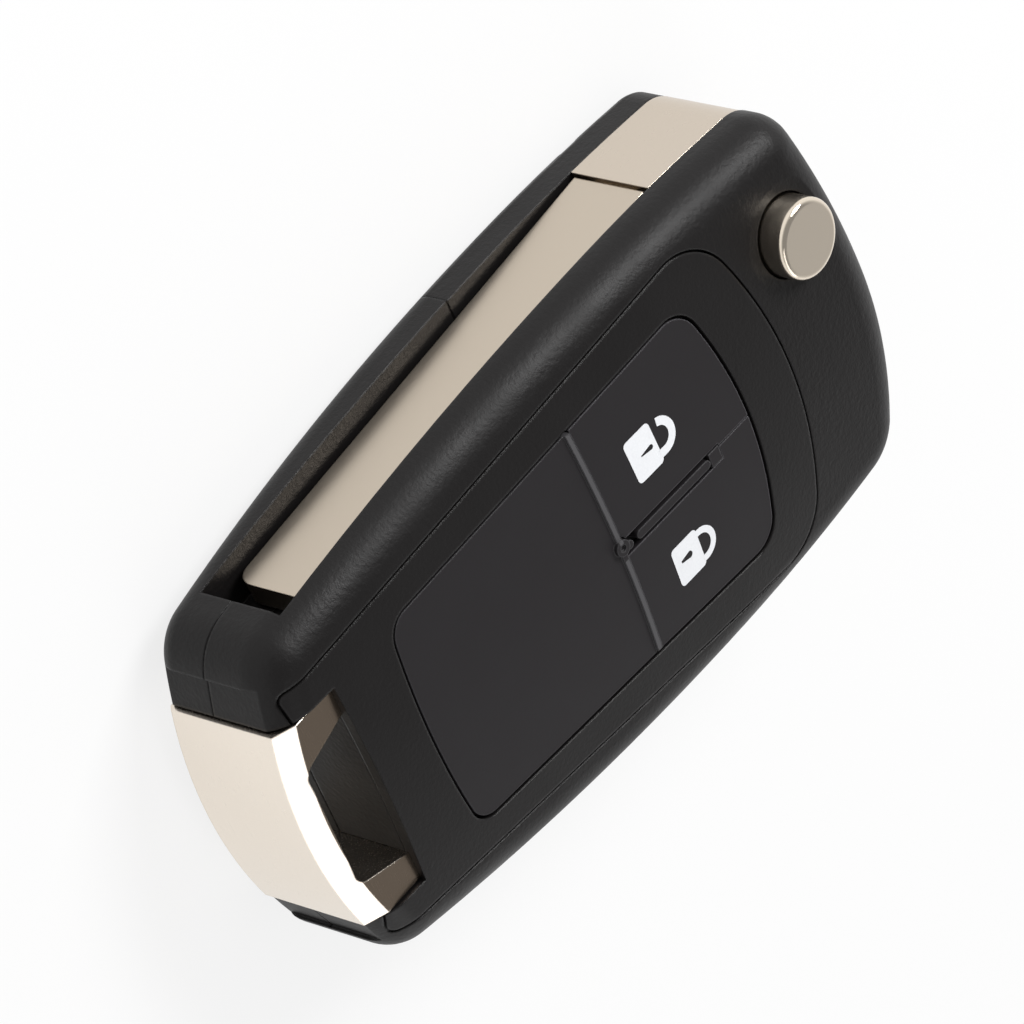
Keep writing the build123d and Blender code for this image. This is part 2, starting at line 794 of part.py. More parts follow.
# Release button: plated cap, retaining collar and the square stem that turns with the head
with BuildPart() as release_button:
    with BuildSketch(Plane.XY.offset(collar_bottom)):
        with Locations((pivot_x, pivot_y)):
            Circle(button_cap_diameter / 2)
    extrude(amount=cap_top - collar_bottom)
    cap_rim = release_button.faces().sort_by(Axis.Z)[-1].edges()
    fillet(cap_rim, button_rim)
    with BuildSketch(Plane.XY.offset(collar_bottom)):
        with Locations((pivot_x, pivot_y)):
            Circle(button_collar_diameter / 2)
    extrude(amount=button_collar_height)
    with BuildSketch(Plane.XY.offset(collar_bottom)):
        with Locations((pivot_x, pivot_y)):
            RectangleRounded(button_stem_width, button_stem_width, button_stem_corner)
    extrude(amount=head_bottom - spigot_length + stem_foot_gap - collar_bottom)
release_button.part.label = "release_button"
export_step(release_button.part, "parts/release_button.step")

# Flip spring: the coil round the stem, wound between the head and the button collar
spring_floor = head_bottom + head_web
spring_height = collar_bottom - spring_floor
with BuildPart() as flip_spring:
    coil_radius = (spring_diameter - spring_wire) / 2
    with BuildLine():
        coil = Helix(
            pitch=(spring_height - spring_wire) / spring_turns,
            height=spring_height - spring_wire,
            radius=coil_radius,
            center=(pivot_x, pivot_y, spring_floor + spring_wire / 2),
        )
    with BuildSketch(Plane(origin=coil @ 0, z_dir=coil % 0)):
        Circle(spring_wire / 2 - spring_relief)
    sweep(path=coil, is_frenet=True)
flip_spring.part.label = "flip_spring"
export_step(flip_spring.part, "parts/flip_spring.step")

# Bush that the head's spigot turns in
with BuildPart() as pivot_bush:
    with BuildSketch(Plane.XY.offset(bush_bottom)):
        with Locations((pivot_x, pivot_y)):
            Circle(bush_diameter / 2)
            Circle(spigot_diameter / 2 + running_gap, mode=Mode.SUBTRACT)
    extrude(amount=bush_length)
pivot_bush.part.label = "pivot_bush"
export_step(pivot_bush.part, "parts/pivot_bush.step")


def tray_plan(inset):
    """Plan of the board tray, drawn in by inset."""
    with BuildSketch() as plan:
        add(bay_plan(tray_gap + inset))
        with Locations((0, tray_head_y - inset)):
            Rectangle(2 * reach, reach, align=(Align.CENTER, Align.MIN), mode=Mode.SUBTRACT)
    return plan.sketch


# Board tray: the open tray under the pad for the circuit board
with BuildPart() as board_tray:
    add(column(tray_plan(0.0), tray_top - tray_height, tray_top))
    add(column(tray_plan(tray_wall), tray_top - tray_height + tray_wall, tray_top), mode=Mode.SUBTRACT)
board_tray.part.label = "board_tray"
export_step(board_tray.part, "parts/board_tray.step")

# Case screw through the lug of the rear shell into the front shell
with BuildPart() as case_screw:
    with BuildSketch(Plane.XY.offset(lug_bottom)):
        with Locations((screw_x, screw_y)):
            Circle(screw_diameter / 2)
    extrude(amount=lug_thickness + screw_length - screw_end_gap)
    with BuildSketch(Plane.XY.offset(lug_bottom)):
        with Locations((screw_x, screw_y)):
            Circle(screw_head_diameter / 2)
    extrude(amount=-screw_head_height)
    with BuildSketch(Plane.XY.offset(lug_bottom - screw_head_height)):
        with Locations((screw_x, screw_y)):
            Rectangle(screw_slot_length, screw_slot_width)
            Rectangle(screw_slot_width, screw_slot_length)
    extrude(amount=screw_slot_depth, mode=Mode.SUBTRACT)
case_screw.part.label = "case_screw"
export_step(case_screw.part, "parts/case_screw.step")
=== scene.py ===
"""Looks of the folding key fob shell: finishes, printed symbols, stage, light and camera."""
import math

import bmesh
import bpy
from bpy.props import FloatProperty, FloatVectorProperty, PointerProperty, StringProperty
from mathutils import Matrix, Quaternion, Vector
from mathutils.bvhtree import BVHTree


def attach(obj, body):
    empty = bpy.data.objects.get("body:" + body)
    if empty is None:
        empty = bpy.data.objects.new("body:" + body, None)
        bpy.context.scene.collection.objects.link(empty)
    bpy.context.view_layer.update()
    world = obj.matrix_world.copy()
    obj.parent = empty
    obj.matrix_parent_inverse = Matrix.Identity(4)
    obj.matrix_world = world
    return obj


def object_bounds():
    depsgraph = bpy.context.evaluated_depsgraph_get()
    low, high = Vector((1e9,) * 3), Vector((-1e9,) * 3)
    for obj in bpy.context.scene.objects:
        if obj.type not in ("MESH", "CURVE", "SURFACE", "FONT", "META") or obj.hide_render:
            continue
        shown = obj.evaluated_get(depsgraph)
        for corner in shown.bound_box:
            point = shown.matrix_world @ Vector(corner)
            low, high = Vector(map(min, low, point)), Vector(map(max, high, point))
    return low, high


bl_info = {
    "name": "Folding Key Fob Shell",
    "version": (1, 0, 0),
    "blender": (4, 5, 0),
    "location": "View3D > Sidebar > Key Fob",
    "description": "Dresses the packed key fob shell with its finishes, symbols, stage and camera",
    "category": "Object",
}

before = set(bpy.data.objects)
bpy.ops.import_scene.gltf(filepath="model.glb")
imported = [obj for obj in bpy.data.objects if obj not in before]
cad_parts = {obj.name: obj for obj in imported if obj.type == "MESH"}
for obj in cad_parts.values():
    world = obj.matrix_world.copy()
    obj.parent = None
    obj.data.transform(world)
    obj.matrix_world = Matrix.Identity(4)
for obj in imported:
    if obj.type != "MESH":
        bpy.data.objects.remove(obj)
CAD_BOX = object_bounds()
MM = 0.001

# The pad's rib across the case, and the stretch of it that the nub takes up
RIB_Y = 0.65 * MM
RIB_WIDTH = 0.4 * MM
NUB_X = 0.8 * MM
NUB_WIDTH = 1.8 * MM

# Most values of a noise node lie between these two
NOISE_LOW = 0.3
NOISE_HIGH = 0.7

# Likeness of the rounded and the flat normal where the mask of an edge starts, and where it is full
EDGE_STARTS = 0.98
EDGE_FULL = 0.85

# Z of a normal: chamfers and rims lie between the first two, flat tops between the last two
CHAMFER_LOW = 0.15
CHAMFER_HIGH = 0.97
TOP_HIGH = 2.0

# Radius in mm to which the edges of each kind of material are softened
ABS_EDGE = 0.3
RUBBER_EDGE = 0.2
PLATE_EDGE = 0.16

# Roughness of the case's edges, which handling polishes, and of the plate that is buffed
ABS_POLISHED = 0.24
PLATE_BUFFED = 0.1

# Scale of the brush lines along their own direction, which draws them out
BRUSH_STRETCH = 0.04

# Size in mm of the haze on the case, the clouds on the rubber, the marks on plain metal and
# the grain of the ink
HAZE_SIZE = 9.0
CLOUD_SIZE = 6.0
MARK_SIZE = 0.6
INK_GRAIN = 0.2

# sRGB hex of the rubber where handling has lightened it, and of the dull end of the ink
RUBBER_HANDLED = "242224"
INK_DULL = "e9ebee"

# Material, size and depth of its grain in mm, roughness, and the nodes that have it
ABS_FINISHES = (
    ("black_abs_grained", 0.45, 0.045, 0.46, ("front_shell", "rear_shell", "battery_cover")),
    ("black_abs_fine_grain", 0.38, 0.03, 0.46, ("front_panel",)),
    ("black_abs_inner", 0.4, 0.01, 0.5, ("pad_frame", "board_tray")),
)

# Material, setting of its colour, hex of the painted shade on its flat tops, roughness, width of
# its brush lines in mm, the axis they run along, and the node that has it
PLATED_FINISHES = (
    # 857769 is a painted shade on the bail's flat tops
    ("pearl_chrome_plate", "bail_colour", "857769", 0.24, 0.12, "X", "keyring_bail"),
    ("satin_nickel_plate", "head_colour", None, 0.3, 0.12, "Y", "flip_head"),
    ("nickel_silver_ground", "blade_colour", None, 0.32, 0.1, "Y", "key_blade"),
    ("satin_nickel_cap", "cap_colour", None, 0.2, 0.15, "X", "release_button"),
)

# Material, sRGB hex, roughness, and the nodes that have it
PLAIN_FINISHES = (
    ("spring_wire_drawn", "b8b6b2", 0.28, ("flip_spring",)),
    ("steel_zinc_plated", "c4c4c2", 0.3, ("bail_pins", "blade_pin", "case_screw")),
    ("brass_turned", "c9a45c", 0.3, ("pivot_bush",)),
)

# How far a shackle's foot reaches into its body in mm, and the turn in degrees of two legs
FOOT_SINK = 0.1
HALF_TURN = 180

# Symbols are laid on their key from this height, and points closer than this are one
RAY_START = 1.0
DOWN = Vector((0.0, 0.0, -1.0))
MERGE_DISTANCE = 1e-7

FLOOR_HALF = 6.0
FLOOR_DROP = 0.02 * MM
FLOOR_WHITE_SHARE = 0.8
ROOM_STRENGTH = 0.48
LAMP_TARGET = Vector((0.0, 0.0, 0.01))
CAMERA_TARGET = Vector((-11.53, -8.285, 18.235)) * MM


def linear(hex_colour):
    """Linear RGBA from an sRGB hex colour such as 2b2a29."""
    channels = [int(hex_colour[i : i + 2], 16) / 255 for i in (0, 2, 4)]
    shares = [c / 12.92 if c <= 0.04045 else ((c + 0.055) / 1.055) ** 2.4 for c in channels]
    return (*shares, 1.0)


def add_node(tree, kind, settings=None, inputs=None, links=None):
    """Adds a node with its settings, socket values and links from other nodes' sockets."""
    node = tree.nodes.new(kind)
    for name, value in (settings or {}).items():
        setattr(node, name, value)
    for name, value in (inputs or {}).items():
        node.inputs[name].default_value = value
    for name, socket in (links or {}).items():
        tree.links.new(socket, node.inputs[name])
    return node


def new_material(name, hex_colour, metallic, roughness, **more):
    """A material with one Principled BSDF, its tree and object coordinates ready for patterns."""
    material = bpy.data.materials.new(name)
    material.use_nodes = True
    tree = material.node_tree
    tree.nodes.clear()
    place = add_node(tree, "ShaderNodeTexCoord").outputs["Object"]
    values = {"Base Color": linear(hex_colour), "Metallic": metallic, "Roughness": roughness}
    shader = add_node(tree, "ShaderNodeBsdfPrincipled", inputs={**values, **more})
    add_node(tree, "ShaderNodeOutputMaterial", links={"Surface": shader.outputs["BSDF"]})
    return material, tree, place, shader


def soft_edges(tree, edge_mm):
    """Normal with edges rounded by edge_mm, and a mask that is 1 on those edges."""
    rounded = add_node(
        tree, "ShaderNodeBevel", settings={"samples": 4}, inputs={"Radius": edge_mm * MM}
    ).outputs["Normal"]
    flat = add_node(tree, "ShaderNodeNewGeometry").outputs["True Normal"]
    likeness = add_node(
        tree,
        "ShaderNodeVectorMath",
        settings={"operation": "DOT_PRODUCT"},
        links={0: rounded, 1: flat},
    ).outputs["Value"]
    mask = add_node(
        tree,
        "ShaderNodeMapRange",
        inputs={"From Min": EDGE_STARTS, "From Max": EDGE_FULL, "To Min": 0.0, "To Max": 1.0},
        links={"Value": likeness},
    ).outputs["Result"]
    return rounded, mask


def relief(tree, place, normal, size_mm, depth_mm, detail, roughness):
    """A pattern with features about size_mm across, and the normal of it standing depth_mm high."""
    pattern = add_node(
        tree,
        "ShaderNodeTexNoise",
        inputs={"Scale": 1 / (size_mm * MM), "Detail": detail, "Roughness": roughness},
        links={"Vector": place},
    ).outputs["Fac"]
    raised = add_node(
        tree,
        "ShaderNodeBump",
        inputs={"Strength": 1.0, "Distance": depth_mm * MM},
        links={"Height": pattern, "Normal": normal},
    ).outputs["Normal"]
    return pattern, raised


def broken_shine(tree, pattern, low, high, masks=(), polished=0.0):
    """Roughness that a pattern moves between low and high, polished where a mask is 1."""
    shine = add_node(
        tree,
        "ShaderNodeMapRange",
        inputs={"From Min": NOISE_LOW, "From Max": NOISE_HIGH, "To Min": low, "To Max": high},
        links={"Value": pattern},
    ).outputs["Result"]
    for mask in masks:
        shine = add_node(
            tree, "ShaderNodeMix", inputs={"B": polished}, links={"Factor": mask, "A": shine}
        ).outputs["Result"]
    return shine


def moulded_abs(name, hex_colour, grain_mm, grain_depth_mm, roughness):
    """Black ABS moulded in a spark-eroded tool: a soft grainy sheen, with edges rubbed shiny."""
    light = {"IOR": 1.5, "Specular IOR Level": 0.25}
    material, tree, place, shader = new_material(
        name, hex_colour, metallic=0.0, roughness=roughness, **light
    )
    rounded, edge = soft_edges(tree, ABS_EDGE)
    # Real spark-eroded grain is finer than the picture shows, so it is drawn coarser
    grained = relief(tree, place, rounded, grain_mm, grain_depth_mm, detail=3.0, roughness=0.6)[1]
    # Wide patches of haze from handling keep the sheen from looking even
    haze = add_node(
        tree,
        "ShaderNodeTexNoise",
        inputs={"Scale": 1 / (HAZE_SIZE * MM), "Detail": 2.0, "Roughness": 0.5},
        links={"Vector": place},
    ).outputs["Fac"]
    low, high = roughness - 0.04, roughness + 0.05
    shine = broken_shine(tree, haze, low, high, (edge,), ABS_POLISHED)
    tree.links.new(grained, shader.inputs["Normal"])
    tree.links.new(shine, shader.inputs["Roughness"])
    return material


def rib_mask(tree, place, width):
    """1 on the crest of the pad's rib across the case, on either side of the nub, else 0."""
    position = add_node(tree, "ShaderNodeSeparateXYZ", links={"Vector": place})
    rib, nub = (
        add_node(
            tree,
            "ShaderNodeMath",
            settings={"operation": "COMPARE"},
            inputs={1: middle, 2: across / 2},
            links={0: position.outputs[axis]},
        ).outputs[0]
        for axis, middle, across in (("Y", RIB_Y, width), ("X", NUB_X, NUB_WIDTH))
    )
    crest = add_node(
        tree,
        "ShaderNodeMath",
        settings={"operation": "SUBTRACT", "use_clamp": True},
        links={0: rib, 1: nub},
    )
    return crest.outputs[0]


def silicone_rubber(name, hex_colour, highlight_hex, rib_width=None):
    """Compression-moulded silicone: even and matte, clouded by handling.

    Its edges are coloured a lighter grey: a painted highlight.
    """
    light = {"IOR": 1.42, "Specular IOR Level": 0.32}
    material, tree, place, shader = new_material(
        name, hex_colour, metallic=0.0, roughness=0.56, **light
    )
    rounded, highlight_mask = soft_edges(tree, RUBBER_EDGE)
    # The rib stands proud, so its crest gets the same painted highlight as the edges
    if rib_width:
        rib = rib_mask(tree, place, rib_width)
        highlight_mask = add_node(
            tree, "ShaderNodeMath", settings={"operation": "MAXIMUM"}, links={0: highlight_mask, 1: rib}
        ).outputs[0]
    # The skin's real texture is finer than the picture shows, so it is drawn coarser
    skin = relief(tree, place, rounded, size_mm=0.35, depth_mm=0.006, detail=2.0, roughness=0.5)[1]
    cloud = add_node(
        tree,
        "ShaderNodeTexNoise",
        inputs={"Scale": 1 / (CLOUD_SIZE * MM), "Detail": 4.0, "Roughness": 0.6},
        links={"Vector": place},
    ).outputs["Fac"]
    body = add_node(
        tree,
        "ShaderNodeMix",
        settings={"data_type": "RGBA"},
        inputs={"A": linear(hex_colour), "B": linear(RUBBER_HANDLED)},
        links={"Factor": cloud},
    ).outputs["Result"]
    # Painted highlight: the edges, and the rib's crest where there is one, are coloured lighter
    # grey
    highlighted_colour = add_node(
        tree,
        "ShaderNodeMix",
        settings={"data_type": "RGBA"},
        inputs={"B": linear(highlight_hex)},
        links={"Factor": highlight_mask, "A": body},
    ).outputs["Result"]
    tree.links.new(highlighted_colour, shader.inputs["Base Color"])
    tree.links.new(skin, shader.inputs["Normal"])
    return material


def slope_mask(tree, lowest, highest):
    """1 where the surface's slope, as the Z of its normal, lies between two values, else 0."""
    normal = add_node(tree, "ShaderNodeTexCoord").outputs["Normal"]
    upward = add_node(tree, "ShaderNodeSeparateXYZ", links={"Vector": normal}).outputs["Z"]
    above, below = (
        add_node(
            tree,
            "ShaderNodeMath",
            settings={"operation": operation},
            inputs={1: limit},
            links={0: upward},
        ).outputs[0]
        for operation, limit in (("GREATER_THAN", lowest), ("LESS_THAN", highest))
    )
    both = add_node(
        tree, "ShaderNodeMath", settings={"operation": "MULTIPLY"}, links={0: above, 1: below}
    )
    return both.outputs[0]


def plated_metal(name, hex_colour, top_shade_hex, roughness, brush_mm, brush_axis):
    """Satin plate over a brushed casting, buffed bright on chamfers, rims and edges."""
    material, tree, place, shader = new_material(
        name, hex_colour, metallic=1.0, roughness=roughness
    )
    rounded, edge = soft_edges(tree, PLATE_EDGE)
    stretch = Vector([BRUSH_STRETCH if axis == brush_axis else 1.0 for axis in "XYZ"])
    along = add_node(
        tree, "ShaderNodeMapping", inputs={"Scale": stretch}, links={"Vector": place}
    ).outputs["Vector"]
    # Real brush lines are finer than the picture shows, so they are drawn coarser
    lines, brushed = relief(
        tree, along, rounded, brush_mm, depth_mm=0.00015, detail=3.0, roughness=0.6
    )
    chamfer = slope_mask(tree, CHAMFER_LOW, CHAMFER_HIGH)
    low, high = roughness - 0.03, roughness + 0.04
    shine = broken_shine(tree, lines, low, high, (chamfer, edge), PLATE_BUFFED)
    tree.links.new(shine, shader.inputs["Roughness"])
    tree.links.new(brushed, shader.inputs["Normal"])
    # Painted shade: a flat top that mirrors the ceiling is coloured darker than the buffed chamfer
    # beside it, and its edges keep the plate's own colour
    if top_shade_hex:
        painted_top_shade = add_node(
            tree,
            "ShaderNodeMix",
            settings={"data_type": "RGBA"},
            inputs={"A": linear(hex_colour), "B": linear(top_shade_hex)},
            links={"Factor": slope_mask(tree, CHAMFER_HIGH, TOP_HIGH)},
        ).outputs["Result"]
        plate = add_node(
            tree,
            "ShaderNodeMix",
            settings={"data_type": "RGBA"},
            inputs={"B": linear(hex_colour)},
            links={"Factor": edge, "A": painted_top_shade},
        ).outputs["Result"]
        tree.links.new(plate, shader.inputs["Base Color"])
    return material


def plain_metal(name, hex_colour, roughness):
    """Turned or drawn metal: a clean shine, broken by faint handling marks."""
    material, tree, place, shader = new_material(
        name, hex_colour, metallic=1.0, roughness=roughness
    )
    marks = add_node(
        tree,
        "ShaderNodeTexNoise",
        inputs={"Scale": 1 / (MARK_SIZE * MM), "Detail": 3.0, "Roughness": 0.5},
        links={"Vector": place},
    ).outputs["Fac"]
    shine = broken_shine(tree, marks, low=roughness - 0.05, high=roughness + 0.08)
    tree.links.new(shine, shader.inputs["Roughness"])
    return material


def printed_ink(name, hex_colour):
    """Pad-printed white ink: matte and slightly uneven."""
    material, tree, place, shader = new_material(
        name, hex_colour, metallic=0.0, roughness=0.5, IOR=1.48
    )
    # The film's real grain is finer than the picture shows, so it is drawn coarser
    print_grain = add_node(
        tree,
        "ShaderNodeTexNoise",
        inputs={"Scale": 1 / (INK_GRAIN * MM), "Detail": 2.0, "Roughness": 0.5},
        links={"Vector": place},
    ).outputs["Fac"]
    film = add_node(
        tree,
        "ShaderNodeMix",
        settings={"data_type": "RGBA"},
        inputs={"A": linear(INK_DULL), "B": linear(hex_colour)},
        links={"Factor": print_grain},
    ).outputs["Result"]
    tree.links.new(film, shader.inputs["Base Color"])
    return material


def link_object(name, data):
    """A new object in the scene, of a mesh, curve, lamp or camera."""
    made = bpy.data.objects.new(name, data)
    bpy.context.scene.collection.objects.link(made)
    return made


def dress(node_names, material):
    """Gives CAD nodes a finish."""
    for name in node_names:
        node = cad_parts[name]
        node.data.materials.clear()
        node.data.materials.append(material)


class FobSettings(bpy.types.PropertyGroup):
    """Sizes and colours that a user would change."""

    case_colour: StringProperty(
        name="Case colour", description="sRGB hex of the ABS case", default="151313"
    )
    pad_colour: StringProperty(
        name="Pad colour", description="sRGB hex of the rubber pad", default="211e20"
    )
    bail_colour: StringProperty(
        name="Bail colour", description="sRGB hex of the bail plate", default="f0e6d9"
    )
    head_colour: StringProperty(
        name="Head colour", description="sRGB hex of the head plate", default="d3c7b8"
    )
    blade_colour: StringProperty(
        name="Blade colour", description="sRGB hex of the blade", default="cbbfaf"
    )
    cap_colour: StringProperty(
        name="Button colour", description="sRGB hex of the button", default="e8dccb"
    )
    ink_colour: StringProperty(
        name="Ink colour", description="sRGB hex of the symbols", default="f6f7fa"
    )
    symbol_thickness: FloatProperty(
        name="Ink thickness",
        description="How far the ink stands on the rubber",
        default=0.03 * MM,
        unit="LENGTH",
    )
    camera_distance: FloatProperty(
        name="Camera distance",
        description="From the lens to its target",
        default=518.4 * MM,
        unit="LENGTH",
    )
    lens: FloatProperty(name="Lens", description="Focal length on a 36 mm sensor", default=229.5)
    camera_azimuth: FloatProperty(
        name="Azimuth",
        description="Camera direction round the case",
        default=math.radians(-50.4),
        subtype="ANGLE",
    )
    camera_elevation: FloatProperty(
        name="Elevation",
        description="Camera height over the case",
        default=math.radians(40.7),
        subtype="ANGLE",
    )
    camera_roll: FloatProperty(
        name="Roll",
        description="Turn of the picture about the view",
        default=math.radians(104.1),
        subtype="ANGLE",
    )
    backdrop: FloatVectorProperty(
        name="Backdrop",
        description="Colour of floor and world",
        default=(1.0, 1.0, 1.0),
        subtype="COLOR",
        size=3,
    )


def settings():
    """The scene's settings."""
    return bpy.context.scene.fob_settings


class FOB_OT_case(bpy.types.Operator):
    """Finish the moulded case halves, the battery cover and the front panel"""

    bl_idname = "fob.case"
    bl_label = "Case and panel"

    def execute(self, context):
        colour = settings().case_colour
        for name, grain_mm, depth_mm, roughness, node_names in ABS_FINISHES:
            dress(node_names, moulded_abs(name, colour, grain_mm, depth_mm, roughness))
        return {"FINISHED"}


class FOB_OT_pad(bpy.types.Operator):
    """Finish the rubber pad and its two buttons"""

    bl_idname = "fob.pad"
    bl_label = "Rubber pad"

    def execute(self, context):
        colour = settings().pad_colour
        # The second hex of each is a painted highlight on its edges, and on the pad's rib crest
        pad = silicone_rubber("silicone_rubber_pad", colour, "504f51", RIB_WIDTH)
        dress(("button_pad",), pad)
        keys = silicone_rubber("silicone_rubber_keys", colour, "5c5a5e")
        dress(("unlock_button", "lock_button"), keys)
        return {"FINISHED"}


class FOB_OT_metal(bpy.types.Operator):
    """Finish the bail, flip head, blade, release button and inner metal"""

    bl_idname = "fob.metal"
    bl_label = "Metal parts"

    def execute(self, context):
        for name, setting, top_shade_hex, roughness, brush_mm, axis, node_name in PLATED_FINISHES:
            colour = getattr(settings(), setting)
            plate = plated_metal(name, colour, top_shade_hex, roughness, brush_mm, axis)
            dress((node_name,), plate)
        for name, hex_colour, roughness, node_names in PLAIN_FINISHES:
            dress(node_names, plain_metal(name, hex_colour, roughness))
        return {"FINISHED"}


def arc_points(centre, radius, start, end, steps=16):
    """Points on an arc between two angles in degrees."""
    points = []
    for i in range(steps + 1):
        angle = math.radians(start + (end - start) * i / steps)
        points.append((centre[0] + radius * math.cos(angle), centre[1] + radius * math.sin(angle)))
    return points


def rounded_box(left, low, right, high, radius):
    """Outline of a box with round corners."""
    corners = (
        ((right - radius, high - radius), 0),
        ((left + radius, high - radius), 90),
        ((left + radius, low + radius), 180),
        ((right - radius, low + radius), 270),
    )
    outline = []
    for centre, start in corners:
        outline += arc_points(centre, radius, start, start + 90, steps=5)
    return outline


def keyhole(x, low, high, wide, foot):
    """Outline of a keyhole: round above, narrowing to its foot."""
    head = arc_points((x, high - wide / 2), wide / 2, start=-25, end=205, steps=12)
    return head + [(x - foot / 2, low), (x + foot / 2, low)]


def padlock(body, corner, middle, spring_y, radius, bar, reach):
    """Outlines of a padlock symbol: its body, and the shackle that reaches round by an angle."""
    left, low, right, high = body
    foot = high - FOOT_SINK
    centre = (middle, spring_y)
    outer = [(middle + radius, foot)] + arc_points(centre, radius, 0, reach)
    inner = arc_points(centre, radius - bar, reach, 0) + [(middle + radius - bar, foot)]
    if reach == HALF_TURN:
        outer += [(middle - radius, foot), (middle - radius + bar, foot)]
    return rounded_box(left, low, right, high, corner), outer + inner


def symbol_mesh(name, outlines, carrier, thickness):
    """Flat outlines, holes among them, laid on the top of a CAD node as a thin printed film."""
    curve = bpy.data.curves.new(name, "CURVE")
    curve.dimensions = "2D"
    curve.fill_mode = "BOTH"
    for outline in outlines:
        spline = curve.splines.new("POLY")
        spline.points.add(len(outline) - 1)
        for point, (x, y) in zip(spline.points, outline):
            point.co = (x * MM, y * MM, 0.0, 1.0)
        spline.use_cyclic_u = True
    curve.extrude = thickness / 2
    shape = link_object(name + "_outline", curve)
    depsgraph = bpy.context.evaluated_depsgraph_get()
    mesh = bpy.data.meshes.new_from_object(shape.evaluated_get(depsgraph))
    bpy.data.objects.remove(shape)
    mesh.name = name
    made = bmesh.new()
    made.from_mesh(mesh)
    bmesh.ops.remove_doubles(made, verts=made.verts, dist=MERGE_DISTANCE)
    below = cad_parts[carrier].data
    faces = [face.vertices for face in below.polygons]
    tree = BVHTree.FromPolygons([vertex.co for vertex in below.vertices], faces)
    for vertex in made.verts:
        hit = tree.ray_cast(Vector((vertex.co.x, vertex.co.y, RAY_START)), DOWN)[0]
        if hit is None:
            raise RuntimeError(f"{name} reaches past {carrier}")
        vertex.co.z += hit.z + thickness / 2
    bmesh.ops.recalc_face_normals(made, faces=made.faces)
    made.to_mesh(mesh)
    made.free()
    return link_object(name, mesh)


class FOB_OT_symbols(bpy.types.Operator):
    """Print the open and closed padlock on the two buttons"""

    bl_idname = "fob.symbols"
    bl_label = "Printed symbols"

    def execute(self, context):
        ink = printed_ink("white_pad_print", settings().ink_colour)
        thickness = settings().symbol_thickness
        open_lock = padlock(
            body=(-7.0, 4.95, -2.82, 8.15),
            corner=0.42,
            middle=-4.92,
            spring_y=8.72,
            radius=1.75,
            bar=0.78,
            reach=172,
        )
        closed_lock = padlock(
            body=(4.75, 5.05, 8.7, 8.25),
            corner=0.42,
            middle=6.75,
            spring_y=8.45,
            radius=1.65,
            bar=0.62,
            reach=HALF_TURN,
        )
        open_hole = keyhole(x=-4.85, low=6.2, high=7.7, wide=0.5, foot=0.14)
        closed_hole = keyhole(x=6.5, low=5.8, high=7.2, wide=0.68, foot=0.25)
        rows = (
            ("unlock", "unlock_button", "unlock_key", open_lock, open_hole),
            ("lock", "lock_button", "lock_key", closed_lock, closed_hole),
        )
        for word, carrier, body, (case, shackle), hole in rows:
            for part_name, outlines in (("body", [case, hole]), ("shackle", [shackle])):
                film = symbol_mesh(f"{word}_symbol_{part_name}", outlines, carrier, thickness)
                film.data.materials.append(ink)
                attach(film, body)
        return {"FINISHED"}


def area_light(name, place, size, watts, roll=0.0):
    """A soft white rectangular lamp that looks at the case, turned by roll about its own axis."""
    data = bpy.data.lights.new(name, "AREA")
    data.shape = "RECTANGLE"
    data.size, data.size_y = size
    data.energy = watts
    lamp = link_object(name, data)
    lamp.location = place
    lamp.rotation_mode = "QUATERNION"
    aim = (LAMP_TARGET - Vector(place)).to_track_quat("-Z", "Y")
    lamp.rotation_quaternion = aim @ Quaternion((0.0, 0.0, 1.0), roll)


def white_to_the_eye(tree, shader_socket, white_socket, share):
    """Shows a share of white to camera, glossy and transmission rays, the shader to the rest."""
    path = add_node(tree, "ShaderNodeLightPath")
    seen = path.outputs["Is Camera Ray"]
    for kind in ("Is Glossy Ray", "Is Transmission Ray"):
        seen = add_node(
            tree,
            "ShaderNodeMath",
            settings={"operation": "MAXIMUM"},
            links={0: seen, 1: path.outputs[kind]},
        ).outputs[0]
    part = add_node(
        tree,
        "ShaderNodeMath",
        settings={"operation": "MULTIPLY"},
        inputs={1: share},
        links={0: seen},
    ).outputs[0]
    mix = add_node(
        tree, "ShaderNodeMixShader", links={"Fac": part, 1: shader_socket, 2: white_socket}
    )
    return mix.outputs[0]


